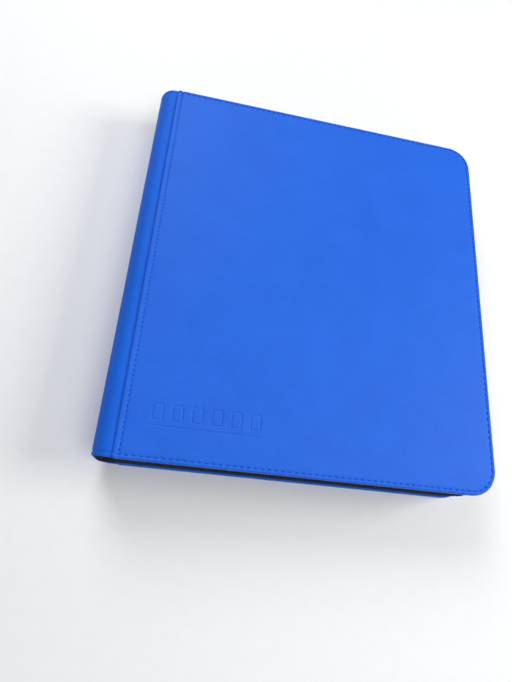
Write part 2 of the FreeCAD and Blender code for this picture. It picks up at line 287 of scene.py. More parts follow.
def film_material(name):
    """Clear glossy pocket film: see-through face on, glossy at a slant, with faint stretch marks."""
    material, tree, shader = new_material(name)
    ripple = texture(tree, "Noise", Scale=55.0, Detail=3.0)
    haze = ramp(tree, ripple.outputs["Fac"], (0.10, 0.105, 0.11, 1), (0.20, 0.205, 0.21, 1))
    normal = bump(tree, ripple.outputs["Fac"], strength=0.35, distance=0.0008)
    finish(tree, shader, haze, normal, {"Roughness": 0.10, "Specular IOR Level": 1.0})
    facing = node(tree, "ShaderNodeLayerWeight", Blend=0.25)
    tree.links.new(normal, facing.inputs["Normal"])
    cover = map_range(tree, facing.outputs["Fresnel"], {"To Min": 0.14, "To Max": 0.75})
    tree.links.new(cover, shader.inputs["Alpha"])
    return material


BLUE = (0.012, 0.136, 0.745, 1)
BLUE_DARK = (0.010, 0.124, 0.700, 1)
LEATHER = leather_material("blue_pu_leather", BLUE, BLUE_DARK)
WRAP_LEATHER = leather_material("blue_pu_leather_wrap", BLUE, BLUE_DARK, specular=0.1)
# The thread's blue is set darker than the leather's as painted shade of the pressed stitch holes it lies
# in.
THREAD = thread_material("blue_thread_painted_shade", (0.006, 0.080, 0.480, 1), (0.008, 0.100, 0.580, 1))
LINING = cloth_material("black_lining_cloth", (0.012, 0.012, 0.014, 1), (0.030, 0.030, 0.034, 1),
                        per_metre=900.0, sheen=0.15, specular=0.5)
TAPE_CLOTH = cloth_material("zipper_tape_weave", (0.002, 0.003, 0.010, 1), (0.005, 0.008, 0.022, 1),
                            per_metre=700.0, sheen=0.0, specular=0.1)
# The coil is black nylon, and its colour is set darker still as painted shade of the zipper band under the
# cover's edge.
COIL = plastic_material("nylon_coil_painted_shade", (0.005, 0.006, 0.013, 1), (0.010, 0.012, 0.024, 1),
                        roughness=0.45, grain_scale=2500.0, grain_strength=0.1, specular=0.3)
METAL = metal_material("black_lacquered_metal", (0.020, 0.020, 0.022, 1), (0.075, 0.072, 0.070, 1))
SHEET = plastic_material("black_page_sheet", (0.012, 0.012, 0.013, 1), (0.018, 0.018, 0.020, 1),
                         roughness=0.5, grain_scale=1800.0, grain_strength=0.3)
FILM = film_material("clear_pocket_film")
FOAM = plastic_material("grey_foam", (0.42, 0.42, 0.40, 1), (0.55, 0.55, 0.52, 1),
                        roughness=0.95, grain_scale=1400.0, grain_strength=0.8)
GREYBOARD = plastic_material("greyboard", (0.26, 0.25, 0.22, 1), (0.36, 0.34, 0.30, 1),
                             roughness=0.92, grain_scale=900.0, grain_strength=0.6)


# ---- camera: a phone held over the tail side of the binder, tilted towards the head ----
CAMERA_AT = Vector((-79.3 * MM, -158.8 * MM, 317.0 * MM))
CAMERA_AIM = Vector((-29.3 * MM, -38.0 * MM, 0))
CAMERA_ROLL = math.radians(29.15)
CAMERA_LENS = 25.88


def make_camera():
    """The camera that sees the binder as the photograph does."""
    data = bpy.data.cameras.new("camera")
    data.lens = CAMERA_LENS
    data.sensor_width = 36.0
    data.clip_start = 0.01
    camera = bpy.data.objects.new("camera", data)
    bpy.context.scene.collection.objects.link(camera)
    level = (CAMERA_AT - CAMERA_AIM).to_track_quat("Z", "Y").to_matrix().to_4x4()
    camera.matrix_world = Matrix.Translation(CAMERA_AT) @ level @ Matrix.Rotation(CAMERA_ROLL, 4, "Z")
    bpy.context.scene.camera = camera


# ---- the stitched lines ----
SEAM_REACH = HALF_H - SEAM_END
SEAM_SPACING = 2 * SEAM_REACH / round(2 * SEAM_REACH / SEAM_PITCH)


class EdgeLine:
    """The line round the tail, fore-edge and head of a cover, a fixed distance in from its outline."""

    def __init__(self, inset, x_start, pitch=MM):
        self.inset = inset
        self.x_start = x_start
        self.radius = CORNER_R - inset
        self.straight = CENTRE_X - x_start
        self.arc = self.radius * math.pi / 2
        self.length = 2 * (self.straight + self.arc + CENTRE_Y)
        self.pitch = self.length / round(self.length / pitch)

    def at(self, s):
        """Point and direction in plan at a distance along the line. Its second half mirrors its first."""
        if s > self.length / 2:
            x, y, dx, dy = self.at(self.length - s)
            return x, -y, -dx, dy
        if s <= self.straight:
            return self.x_start + s, -HALF_H + self.inset, 1.0, 0.0
        s -= self.straight
        if s <= self.arc:
            a = s / self.radius
            return (CENTRE_X + self.radius * math.sin(a), -CENTRE_Y - self.radius * math.cos(a),
                    math.cos(a), math.sin(a))
        return FORE_X - self.inset, s - self.arc - CENTRE_Y, 0.0, 1.0

    def place(self, x, y):
        """Distance along the line of its point nearest to this one."""
        over_x = x - CENTRE_X
        over_y = abs(y) - CENTRE_Y
        if over_x > 0 and over_y > 0:
            s = self.straight + self.radius * math.atan2(over_x, over_y)
        elif FORE_X - x < HALF_H - abs(y):
            s = self.straight + self.arc - over_y
        else:
            s = x - self.x_start
        return s if y < 0 else self.length - s


EDGE_LINE = EdgeLine(EDGE_STITCH, SEAM_X + EDGE_START, EDGE_PITCH)


# ---- leather panels of the two covers ----
RIM_R = 1.1 * MM
RIM_DROP = 0.9 * MM
CROWN_REACH = 30 * MM  # over which the padding rises
SEAM_CROWN_LOSS = 0.55  # share of the padding
SEAM_CROWN_REACH = 14 * MM
EDGE_GROOVE = 0.30 * MM  # pressed in by the edge stitches
EDGE_PUCKER = 0.14 * MM
EDGE_RIDGE = 0.18 * MM  # between outline and stitches
EDGE_RIDGE_AT = 1.15 * MM
EDGE_RIDGE_WIDE = 0.7 * MM
SEAM_GROOVE = 0.26 * MM
SEAM_PUCKER = 0.12 * MM
SEAM_GROOVE_WIDE = 0.55 * MM
SEAM_RIDGE = 0.22 * MM
SEAM_RIDGE_AT = 1.5 * MM
SEAM_RIDGE_WIDE = 1.0 * MM
LIP_R = 0.5 * MM  # the folded edge beside the seam
LIP_DROP = 0.45 * MM
COVER_WAVES = [(16, 3.7, 1.0), (34, 9.1, 0.5)]  # waves per metre, noise layer and share
WAVE_FADE = 12 * MM
MARK_LEFT = SPINE_X + 29 * MM
MARK_CARDS = 6
CARD_PITCH = 11.2 * MM
CARD_WIDE = 6.6 * MM
CARD_TALL = 9.6 * MM
CARD_LINE = 0.9 * MM
CARD_GROOVE = CARD_LINE * 1.3
CARD_R = 1.2 * MM
CARD_BASE = -HALF_H + 23 * MM
RULE_LENGTH = 64 * MM
RULE_WIDE = 0.6 * MM
RULE_GROOVE = RULE_WIDE * 1.6
RULE_BASE = -HALF_H + 19.5 * MM
DEBOSS = 0.35 * MM
GROOVE_STEEPNESS = 1.8
MARK_MARGIN_X = 2 * MM
MARK_MARGIN_Y = 1.5 * MM
MARK_STEP = 0.4 * MM
COARSE_STEP = 5.0 * MM
CELLS_PER_STITCH = 4
# Distances of the mesh's lines from the outline and from the seam, in mm
NEAR_EDGE = [0, 0.12, 0.35, 0.7, 1.1, 1.45, 1.8, 2.1, 2.4, 2.7, 3.1, 3.7, 4.7]
NEAR_SEAM = [0, 0.1, 0.3, 0.6, 1.0, 1.5, 2.0, 2.5, 2.85, 3.17, 3.5, 3.83, 4.15, 4.8, 5.8]


def lines(low, high, size):
    """Evenly spaced values from one limit to the other."""
    count = max(1, int(round((high - low) / size)))
    return [low + (high - low) * i / count for i in range(count + 1)]


def steps(low, high, size):
    """Evenly spaced values strictly between two limits."""
    return lines(low, high, size)[1:-1]


def edged(low, high, near, size):
    """Values at given distances in mm from both limits, and even ones between those."""
    first = [low + d * MM for d in near]
    last = [high - d * MM for d in reversed(near)]
    return first + steps(first[-1], last[0], size) + last


def cells(xs, ys):
    """The rectangles between neighbouring grid lines."""
    return [(x0, y0, x1, y1) for y0, y1 in zip(ys, ys[1:]) for x0, x1 in zip(xs, xs[1:])]


def past_mark(low, mark, high):
    """Coarse grid lines between two limits, with lines on both sides of the mark."""
    before = lines(low, mark[0], COARSE_STEP)
    return before + lines(*mark, COARSE_STEP)[1:] + lines(mark[1], high, COARSE_STEP)[1:]


def panel_cells(marked):
    """Rectangles that cover a panel: small ones at its edges, seam and mark."""
    seam = [SEAM_X + d * MM for d in NEAR_SEAM]
    fore = [FORE_X - d * MM for d in reversed(NEAR_EDGE)]
    tail = [-HALF_H + d * MM for d in NEAR_EDGE]
    head = [HALF_H - d * MM for d in reversed(NEAR_EDGE)]
    across = seam + steps(seam[-1], fore[0], EDGE_PITCH / CELLS_PER_STITCH) + fore
    rectangles = cells(across, tail) + cells(across, head)
    rectangles += cells(seam, lines(tail[-1], head[0], SEAM_PITCH / CELLS_PER_STITCH))
    rectangles += cells(fore, lines(tail[-1], head[0], EDGE_PITCH / CELLS_PER_STITCH))
    mark_x = (MARK_LEFT - MARK_MARGIN_X, MARK_LEFT + RULE_LENGTH + MARK_MARGIN_X)
    mark_y = (RULE_BASE - MARK_MARGIN_Y, CARD_BASE + CARD_TALL + MARK_MARGIN_Y)
    columns = past_mark(seam[-1], mark_x, fore[0])
    rows = past_mark(tail[-1], mark_y, head[0])
    for cell in cells(columns, rows):
        in_mark = mark_x[0] - MM < cell[0] and cell[2] < mark_x[1] + MM
        in_mark = in_mark and mark_y[0] - MM < cell[1] and cell[3] < mark_y[1] + MM
        if not (marked and in_mark):
            rectangles.append(cell)
    if marked:
        rectangles += cells(lines(*mark_x, MARK_STEP), lines(*mark_y, MARK_STEP))
    return rectangles


def micron(value):
    """A length in whole microns, so that equal places get equal keys."""
    return int(round(value * 1e6))


def stitch_cells(rectangles):
    """One mesh from rectangles of different sizes: faces take in all points on their sides."""
    index = {}
    on_x = {}
    on_y = {}
    for x0, y0, x1, y1 in rectangles:
        for x, y in ((x0, y0), (x1, y0), (x1, y1), (x0, y1)):
            key = (micron(x), micron(y))
            if key not in index:
                index[key] = len(index)
                on_x.setdefault(key[0], []).append(key[1])
                on_y.setdefault(key[1], []).append(key[0])
    for line in list(on_x.values()) + list(on_y.values()):
        line.sort()

    def between(line, low, high):
        return line[bisect.bisect_left(line, low):bisect.bisect_left(line, high)]

    faces = []
    for x0, y0, x1, y1 in rectangles:
        a, b, c, d = micron(x0), micron(y0), micron(x1), micron(y1)
        face = [index[(x, b)] for x in between(on_y[b], a, c)]
        face += [index[(c, y)] for y in between(on_x[c], b, d)]
        face += [index[(x, d)] for x in reversed(between(on_y[d], a + 1, c + 1))]
        face += [index[(a, y)] for y in reversed(between(on_x[a], b + 1, d + 1))]
        faces.append(face)
    points = [(x * 1e-6, y * 1e-6) for x, y in index]
    side = [index[(x, micron(-HALF_H))] for x in on_y[micron(-HALF_H)]]
    side += [index[(micron(FORE_X), y)] for y in on_x[micron(FORE_X)][1:]]
    side += [index[(x, micron(HALF_H))] for x in reversed(on_y[micron(HALF_H)][:-1])]
    seam = [index[(micron(SEAM_X), y)] for y in on_x[micron(SEAM_X)]]
    return points, faces, side, seam


def round_corner(x, y):
    """Moves a point of the square grid into the rounded outline, and gives its inset."""
    inset = min(FORE_X - x, HALF_H - abs(y))
    over_x = x - CENTRE_X
    over_y = abs(y) - CENTRE_Y
    if over_x > 0 and over_y > 0:
        shrink = max(over_x, over_y) / math.hypot(over_x, over_y)
        x = CENTRE_X + over_x * shrink
        y = math.copysign(CENTRE_Y + over_y * shrink, y)
    over_x = SEAM_X + SEAM_CORNER_R - x
    over_y = abs(y) - (HALF_H - SEAM_CORNER_R)
    if over_x > 0 and over_y > 0:
        shrink = max(over_x, over_y) / math.hypot(over_x, over_y)
        x = SEAM_X + SEAM_CORNER_R - over_x * shrink
        y = math.copysign(HALF_H - SEAM_CORNER_R + over_y * shrink, y)
    return x, y, inset


def rounded_box_distance(x, y, x0, x1, y0, y1, radius):
    """Signed distance to a rounded rectangle's outline, negative inside."""
    dx = max(x0 - x, x - x1) + radius
    dy = max(y0 - y, y - y1) + radius
    outside = math.hypot(max(dx, 0), max(dy, 0))
    return outside + min(max(dx, dy), 0) - radius


def soft_groove(distance, width):
    """1 at a groove's middle, 0 outside it, with soft pressed edges."""
    t = 1 - abs(distance) / (width / 2)
    t = min(max(t * GROOVE_STEEPNESS, 0), 1)
    return t * t * (3 - 2 * t)


def mark_depth(x, y):
    """How far the debossed mark pushes the leather in: plain card outlines over a thin rule."""
    if not RULE_BASE - MM < y < CARD_BASE + CARD_TALL + MM:
        return 0.0
    if not MARK_LEFT - MM < x < MARK_LEFT + RULE_LENGTH + MM:
        return 0.0
    depth = 0.0
    rule_y = RULE_BASE + RULE_WIDE / 2
    if MARK_LEFT < x < MARK_LEFT + RULE_LENGTH:
        depth = soft_groove(y - rule_y, RULE_GROOVE)
    index = int((x - MARK_LEFT) // CARD_PITCH)
    if 0 <= index < MARK_CARDS:
        x0 = MARK_LEFT + index * CARD_PITCH
        edge = rounded_box_distance(x, y, x0, x0 + CARD_WIDE, CARD_BASE, CARD_BASE + CARD_TALL, CARD_R)
        depth = max(depth, soft_groove(edge + CARD_LINE / 2, CARD_GROOVE))
    return depth * DEBOSS


def top_height(x, y, inset, crown, marked):
    """Height of a panel's face: rolled rim, stitched groove, padded crown and the folded seam edge."""
    seam = x - SEAM_X
    z = TOP_Z - crown
    if inset < RIM_R:
        z -= RIM_DROP * quarter_drop(1 - inset / RIM_R)
    pucker = EDGE_PUCKER * math.cos(2 * math.pi * EDGE_LINE.place(x, y) / EDGE_LINE.pitch)
    z -= (EDGE_GROOVE + pucker) * bell(inset - EDGE_STITCH, GROOVE_WIDE)
    z += EDGE_RIDGE * bell(inset - EDGE_RIDGE_AT, EDGE_RIDGE_WIDE)
    rise = 1 - math.exp(-max(inset - EDGE_STITCH, 0) / CROWN_REACH)
    z += crown * rise * (1 - SEAM_CROWN_LOSS * math.exp(-max(seam - SEAM_STITCH, 0) / SEAM_CROWN_REACH))
    if seam < LIP_R:
        z -= LIP_DROP * quarter_drop(1 - seam / LIP_R)
    z += SEAM_RIDGE * bell(seam - SEAM_RIDGE_AT, SEAM_RIDGE_WIDE)
    pucker = SEAM_PUCKER * math.cos(2 * math.pi * (y + SEAM_REACH) / SEAM_SPACING)
    z -= (SEAM_GROOVE + pucker) * bell(seam - SEAM_STITCH, SEAM_GROOVE_WIDE)
    wave = sum(share * unevenness(x, y, per_metre, layer) for per_metre, layer, share in COVER_WAVES)
    z += WAVE * wave * min(1.0, inset / WAVE_FADE)
    if marked:
        z -= mark_depth(x, y)
    return min(z, TOP_Z)


def outward(x, y):
    """Outward direction in plan at a point of the panel's outline."""
    out_x = max(x - CENTRE_X, 0.0)
    out_y = math.copysign(max(abs(y) - CENTRE_Y, 0.0), y)
    length = math.hypot(out_x, out_y)
    return out_x / length, out_y / length


RIM_PROFILE = [  # inset and height above the hem's underside in mm, going down and under
    (0.0, 1.6), (0.06, 1.1), (0.35, 0.5), (0.9, 0.12), (1.8, 0.0), (5.0, 0.0), (12.0, 0.0),
]


def cover_panel(name, marked, crown, underside):
    """The leather panel of a cover: padded face, rolled rim and the hem turned in under it."""
    points, faces, rim, lip = stitch_cells(panel_cells(marked))
    verts = []
    for x, y in points:
        px, py, inset = round_corner(x, y)
        verts.append([px, py, top_height(px, py, inset, crown, marked)])
    previous = rim
    for inset, rise in RIM_PROFILE:
        ring = []
        for index in rim:
            x, y = verts[index][:2]
            out_x, out_y = outward(x, y)
            verts.append([x - out_x * inset * MM, y - out_y * inset * MM, HEM_Z + rise * MM])
            ring.append(len(verts) - 1)
        for k in range(len(ring) - 1):
            faces.append((previous[k + 1], previous[k], ring[k], ring[k + 1]))
        previous = ring
    under = []
    for index in lip:
        x, y, z = verts[index]
        verts.append([x + LIP_R, y, z - LIP_R])
        under.append(len(verts) - 1)
    for k in range(len(lip) - 1):
        faces.append((lip[k], lip[k + 1], under[k + 1], under[k]))
    if underside:
        mirror(verts)
        faces = [tuple(reversed(face)) for face in faces]
    return add(name, verts, faces, LEATHER)


FOAM_NEAR_EDGE = [0, 0.6, 1.6, 3, 5, 8, 12]  # in mm
FOAM_STEP = 8 * MM
FOAM_ROUND = 0.9 * MM
FOAM_ROUND_REACH = 1.5 * MM
FOAM_UNDER_SKIN = 0.75 * MM
FOAM_FLOOR_GAP = 0.02 * MM
PAST_STITCHES = 6 * MM  # inset


def foam_pad(name, source, crown, underside):
    """The foam under the leather, crowned like it and rounded at its edges."""
    low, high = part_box(source)
    inset = FORE_X - high.x
    floor_z = TOP_Z - high.z if underside else low.z
    xs = [low.x] + steps(low.x, high.x - CORNER_R, FOAM_STEP)
    xs += [high.x - d * MM for d in reversed(FOAM_NEAR_EDGE)]
    ys = edged(low.y, high.y, FOAM_NEAR_EDGE, FOAM_STEP)
    verts = []
    for y in ys:
        for x in xs:
            px, py, depth = round_corner(x, y)
            soft = FOAM_ROUND * math.exp(-max(depth - inset, 0) / FOAM_ROUND_REACH)
            z = top_height(px, py, max(depth, PAST_STITCHES), crown, False) - FOAM_UNDER_SKIN - soft
            verts.append([px, py, min(z, TOP_Z - MM)])
    top = grid_faces(len(xs), len(ys))
    count = len(verts)
    verts += [[x, y, floor_z + FOAM_FLOOR_GAP] for x, y, z in verts]
    faces = top + [tuple(count + i for i in reversed(face)) for face in top]
    columns, rows = len(xs), len(ys)
    rim = list(range(columns)) + [j * columns + columns - 1 for j in range(1, rows)]
    rim += [(rows - 1) * columns + i for i in range(columns - 2, -1, -1)]
    rim += [j * columns for j in range(rows - 2, 0, -1)]
    for a, b in zip(rim, rim[1:] + rim[:1]):
        faces.append((b, a, a + count, b + count))
    if underside:
        mirror(verts)
        faces = [tuple(reversed(face)) for face in faces]
    return add(name, verts, faces, FOAM)


# ---- stitches ----
THREAD_R = 0.32 * MM
EDGE_STITCH_LENGTH = 2.1 * MM
SEAM_STITCH_LENGTH = 1.8 * MM
EDGE_THREAD_LIFT = 0.10 * MM  # over the groove's bottom
SEAM_THREAD_LIFT = 0.02 * MM
THREAD_SIDES = 6
THREAD_RINGS = 5
THREAD_END = 0.7  # of its radius, where it enters the leather
THREAD_FLAT = 0.8
THREAD_RISE = 0.55  # of a stitch's middle, in radii
THREAD_DIVE = 1.5


def stitch_row(name, path, pitch, length, radius):
    """Separate stitches along a path: path.at(s) gives a point, a direction and an up vector."""
    count = round(path.length / pitch)
    pitch = path.length / count
    verts = []
    faces = []
    sides, rings = THREAD_SIDES, THREAD_RINGS
    for i in range(count):
        middle = (i + 0.5) * pitch
        start = len(verts)
        for r in range(rings):
            t = -1 + 2 * r / (rings - 1)
            point, along, up = path.at(middle + t * length / 2)
            across = up.cross(along).normalized()
            thick = radius * (THREAD_END if r in (0, rings - 1) else 1.0)
            centre = point + up * (radius * (THREAD_RISE - THREAD_DIVE * t * t))
            for k in range(sides):
                angle = 2 * math.pi * k / sides
                rise = up * (math.sin(angle) * thick * THREAD_FLAT)
                verts.append(centre + across * (math.cos(angle) * thick) + rise)
        faces += tube_faces(start, sides, rings)
    return add(name, verts, faces, THREAD)


def tube_faces(start, sides, rings):
    """Faces of a closed tube whose points are listed ring by ring."""
    faces = []
    for r in range(rings - 1):
        for k in range(sides):
            a = start + r * sides + k
            b = start + r * sides + (k + 1) % sides
            faces.append((a, b, b + sides, a + sides))
    faces.append([start + k for k in reversed(range(sides))])
    faces.append([start + (rings - 1) * sides + k for k in range(sides)])
    return faces


class EdgePath:
    """An edge line lifted to its height on one side of the binder."""

    def __init__(self, line, height, up):
        self.line = line
        self.length = line.length
        self.height = height
        self.up = up

    def at(self, s):
        x, y, dx, dy = self.line.at(min(max(s, 0.0), self.length))
        return Vector((x, y, self.height(x, y))), Vector((dx, dy, 0)), self.up


class SeamPath:
    """The straight line of stitches beside the spine seam."""

    def __init__(self, z, up):
        self.z = z
        self.length = 2 * SEAM_REACH
        self.up = up

    def at(self, s):
        return Vector((SEAM_X + SEAM_STITCH, s - SEAM_REACH, self.z)), Vector((0, 1, 0)), self.up


UP = Vector((0, 0, 1))
DOWN = Vector((0, 0, -1))


def groove_height(crown):
    """Height of a cover's face along its stitched groove."""
    return lambda x, y: top_height(x, y, EDGE_STITCH, crown, False) + EDGE_THREAD_LIFT


def seam_height(crown):
    """Height of a cover's face along the stitches beside its seam."""
    quarter = SEAM_SPACING / 4
    return top_height(SEAM_X + SEAM_STITCH, quarter, HALF_H, crown, False) + SEAM_THREAD_LIFT


def make_covers():
    sides = (("front", FRONT_CROWN, False), ("back", BACK_CROWN, True))
    for cover, crown, underside in sides:
        panel = cover_panel(cover + "_cover_leather", not underside, crown, underside)
        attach(panel, cover + "_cover")
        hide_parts(cover + "_outer_skin")
    for cover, crown, underside in sides:
        pad = foam_pad(cover + "_foam", cover + "_foam_pad", crown, underside)
        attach(pad, cover + "_cover")
        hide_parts(cover + "_foam_pad")
    back_groove = groove_height(BACK_CROWN)
    front_edge = EdgePath(EDGE_LINE, groove_height(FRONT_CROWN), UP)
    back_edge = EdgePath(EDGE_LINE, lambda x, y: TOP_Z - back_groove(x, y), DOWN)
    front_seam = SeamPath(seam_height(FRONT_CROWN), UP)
    back_seam = SeamPath(TOP_Z - seam_height(BACK_CROWN), DOWN)
    rows = [
        ("front_edge_stitches", front_edge, EDGE_PITCH, EDGE_STITCH_LENGTH, "front_cover"),
        ("back_edge_stitches", back_edge, EDGE_PITCH, EDGE_STITCH_LENGTH, "back_cover"),
        ("front_seam_stitches", front_seam, SEAM_PITCH, SEAM_STITCH_LENGTH, "front_cover"),
        ("back_seam_stitches", back_seam, SEAM_PITCH, SEAM_STITCH_LENGTH, "back_cover"),
    ]
    for name, path, pitch, length, body in rows:
        row = stitch_row(name, path, pitch, length, THREAD_R)
        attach(row, body)


# ---- spine wrap ----
WRAP_CENTRE_X = SPINE_X + WRAP_R
WRAP_CENTRE_Z = STRIP_Z - WRAP_R
HEAD_ROUND = 3.0 * MM
TAIL_ROUND = 0.8 * MM
WRAP_THICK = 1.0 * MM
WRAP_GROOVE = 0.3 * MM
WRAP_FOLD_R = 0.8 * MM
WRAP_FOLD_DROP = 0.6 * MM
WRAP_WAVES = 20
WRAP_DIP = 0.35 * MM  # where the strip goes under the cover's lip
WRAP_DIP_WIDE = 0.8  # in mm, like WRAP_PAST_SEAM
WRAP_PAST_SEAM = [3.0, 1.5, 0.6, 0.0, -0.6, -1.1]
WRAP_TURNS = 22
WRAP_DROPS = 6
WRAP_ROWS = 46
WRAP_NEAR_END = [0, 0.15, 0.4, 0.8, 1.3, 1.8, 2.3, 2.8, 3.4, 4.2, 6, 9]  # in mm


def wrap_profile():
    """Outer line of the upper half of the wrap in the XZ plane, from under the lip to mid-spine."""
    points = []
    for past_seam in WRAP_PAST_SEAM:
        points.append((SEAM_X + past_seam * MM, STRIP_Z - WRAP_DIP * bell(past_seam, WRAP_DIP_WIDE)))
    for i in range(WRAP_TURNS + 1):
        angle = math.pi / 2 * (1 + i / WRAP_TURNS)
        points.append((WRAP_CENTRE_X + WRAP_R * math.cos(angle), WRAP_CENTRE_Z + WRAP_R * math.sin(angle)))
    for i in range(1, WRAP_DROPS + 1):
        points.append((SPINE_X, WRAP_CENTRE_Z + (MID_Z - WRAP_CENTRE_Z) * i / WRAP_DROPS))
    return points


def wrap_end(x, at_head):
    """Distance from the wrap's middle to an end, which curves in towards the spine."""
    rounding = HEAD_ROUND if at_head else TAIL_ROUND
    t = min(max((SEAM_X - x) / (SEAM_X - SPINE_X), 0.0), 1.0)
    return WRAP_END - rounding * quarter_drop(t)


def wrap_line(x):
    """Places along the spine of the points on one line of the wrap, from tail to head."""
    tail = -wrap_end(x, False)
    head = wrap_end(x, True)
    inner_tail = tail + WRAP_NEAR_END[-1] * MM
    inner_head = head - WRAP_NEAR_END[-1] * MM
    line = [tail + d * MM for d in WRAP_NEAR_END]
    line += [inner_tail + (inner_head - inner_tail) * (i / WRAP_ROWS) for i in range(1, WRAP_ROWS)]
    return line + [head - d * MM for d in reversed(WRAP_NEAR_END)]


def wrap_half(name, lower):
    """Half of the spine wrap as a leather sheet with its ends folded in."""
    profile = wrap_profile()
    outer = []
    inner = []
    for p, (x, z) in enumerate(profile):
        before = profile[max(p - 1, 0)]
        after = profile[min(p + 1, len(profile) - 1)]
        along = Vector((after[0] - before[0], 0, after[1] - before[1])).normalized()
        normal = Vector((along.z, 0, -along.x))
        for y in wrap_line(x):
            inset = wrap_end(x, y > 0) - abs(y)
            drop = 0.0
            if inset < WRAP_FOLD_R:
                drop += WRAP_FOLD_DROP * quarter_drop(1 - inset / WRAP_FOLD_R)
            drop += WRAP_GROOVE * bell(inset - EDGE_STITCH, GROOVE_WIDE)
            drop -= WAVE * noise.noise(Vector((x * WRAP_WAVES, y * WRAP_WAVES, z * WRAP_WAVES)))
            outer.append([x - normal.x * drop, y, z - normal.z * drop])
            inner.append([x - normal.x * WRAP_THICK, y, z - normal.z * WRAP_THICK])
    total = len(profile)
    columns = len(outer) // total
    under = len(outer)
    verts = outer + inner
    faces = grid_faces(columns, total)
    faces += [(a + under, d + under, c + under, b + under) for a, b, c, d in faces]
    ends = [(a, a + columns) for c in (0, columns - 1) for a in range(c, under - columns, columns)]
    for a, b in ends + [(c, c + 1) for c in range(columns - 1)]:
        faces.append((a, b, b + under, a + under))
    if lower:
        mirror(verts)
    half = add(name, verts, faces, WRAP_LEATHER)
    fix_normals(half)
    return half


STRIP_START = 0.7 * MM  # from the seam
STRIP_TURN = math.radians(55)  # down the curve
STRIP_SINK = 0.28 * MM
STRIP_PITCH = 2.6 * MM
STRIP_LENGTH = 1.5 * MM
STRIP_THREAD_R = 0.28 * MM


class StripPath:
    """The stitched line across the wrap near one end."""

    def __init__(self, y):
        self.y = y
        self.flat = SEAM_X - STRIP_START - WRAP_CENTRE_X
        self.length = self.flat + WRAP_R * STRIP_TURN

    def at(self, s):
        if s < self.flat:
            point = Vector((SEAM_X - STRIP_START - s, self.y, STRIP_Z - STRIP_SINK))
            return point, Vector((-1, 0, 0)), UP
        turn = (s - self.flat) / WRAP_R
        up = Vector((-math.sin(turn), 0, math.cos(turn)))
        point = Vector((WRAP_CENTRE_X, self.y, WRAP_CENTRE_Z)) + up * (WRAP_R - STRIP_SINK)
        return point, Vector((-math.cos(turn), 0, -math.sin(turn))), up


def strip_stitches(name, lower):
    """The edge stitching carried on across the visible strip, at the tail and at the head."""
    verts = []
    faces = []
    for side in (-1, 1):
        path = StripPath(side * (WRAP_END - EDGE_STITCH))
        run = stitch_row(name + "_run", path, STRIP_PITCH, STRIP_LENGTH, STRIP_THREAD_R)
        start = len(verts)
        verts += [list(v.co) for v in run.data.vertices]
        faces += [[start + i for i in face.vertices] for face in run.data.polygons]
        bpy.data.objects.remove(run)
    if lower:
        mirror(verts)
    row = add(name, verts, faces, THREAD)
    fix_normals(row)
    return row


def make_wrap():
    upper = wrap_half("spine_wrap_leather_upper", False)
    lower = wrap_half("spine_wrap_leather_lower", True)
    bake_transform(upper)
    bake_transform(lower)
    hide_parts("spine_wrap", "front_spine_wrap")
    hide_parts("back_spine_wrap")
    for name, lower_side, body in (("front_strip_stitches", False, "front_cover"),
                                   ("back_strip_stitches", True, "back_cover")):
        row = strip_stitches(name, lower_side)
        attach(row, body)


# ---- zipper ----
TAPE_INSET = HALF_H - tape_high.y
TAPE_THICK = 0.7 * MM
CHAIN_Z = tape_low.z
TAPE_START = 1.5 * MM  # past the spine's face
TAPE_STEP = 3.0 * MM
TAPE_ROWS = [0, 0.12, 0.25, 0.4, 0.55, 0.7, 0.85, 1.0]
TAPE_TUCK = 0.2 * MM  # up behind the hem
TAPE_BOW = 0.45 * MM
TAPE_WAVE = 0.12 * MM
TAPE_WAVES = 60
TAPE_CLOTH_THICK = TAPE_THICK * 0.9
HINGE_END = 4 * MM  # past the seam
HINGE_REACH = 6 * MM
HINGE_RISE = 2.0 * MM
HINGE_INSIDE = 1.2 * MM  # of the wrap's curve
HINGE_INSIDE_TOP = 1.3 * MM
COIL_START = 9 * MM
COIL_PITCH = 2.2 * MM
COIL_R = 0.42 * MM
COIL_HALF_THICK = 0.75 * MM
COIL_LOW = MID_Z + 0.2 * MM
COIL_DEEP = 2.9 * MM
COIL_PER_TURN = 10
COIL_SIDES = 6
NEAR_VERTICAL = 0.1
ASLANT = Vector((0.3, 0.9, 0.1))
SLIDER_ROOM = 16 * MM  # left out of the front row, clear of the parked slider


def tape_path(start):
    """The zipper tape's middle line, from this far past the spine's face."""
    return EdgePath(EdgeLine(TAPE_INSET + TAPE_THICK / 2, SPINE_X + start), lambda x, y: 0.0, UP)


def tape_top(x):
    """Height of the tape's upper edge, which follows the wrap at the hinge."""
    top = HEM_Z + TAPE_TUCK
    if x < SEAM_X + HINGE_END:
        top += HINGE_RISE * min(max((SEAM_X + HINGE_END - x) / HINGE_REACH, 0), 1)
        arc_x = max(WRAP_CENTRE_X - x, 0) / (WRAP_R - HINGE_INSIDE)
        arc_z = (WRAP_R - HINGE_INSIDE_TOP) * math.sqrt(max(0.0, 1 - arc_x * arc_x))
        top = min(top, WRAP_CENTRE_Z + arc_z)
    return top


def tape_half(name, lower):
    """Half of the zipper tape: a woven wall between the covers, slightly bowed outwards."""
    path = tape_path(TAPE_START)
    verts = []
    count = max(2, int(path.length / TAPE_STEP))
    for h in TAPE_ROWS:
        for i in range(count + 1):
            s = path.length * i / count
            point, along = path.at(s)[:2]
            z = CHAIN_Z + (tape_top(point.x) - CHAIN_Z) * h
            bow = TAPE_BOW * math.sin(math.pi * h)
            bow += TAPE_WAVE * noise.noise(Vector((s * TAPE_WAVES, h * 2, 1.0 + lower)))
            verts.append([point.x + along.y * bow, point.y - along.x * bow, z])
    if lower:
        mirror(verts)
    tape = add(name, verts, grid_faces(count + 1, len(TAPE_ROWS)), TAPE_CLOTH)
    solidify(tape, TAPE_CLOTH_THICK)
    return tape


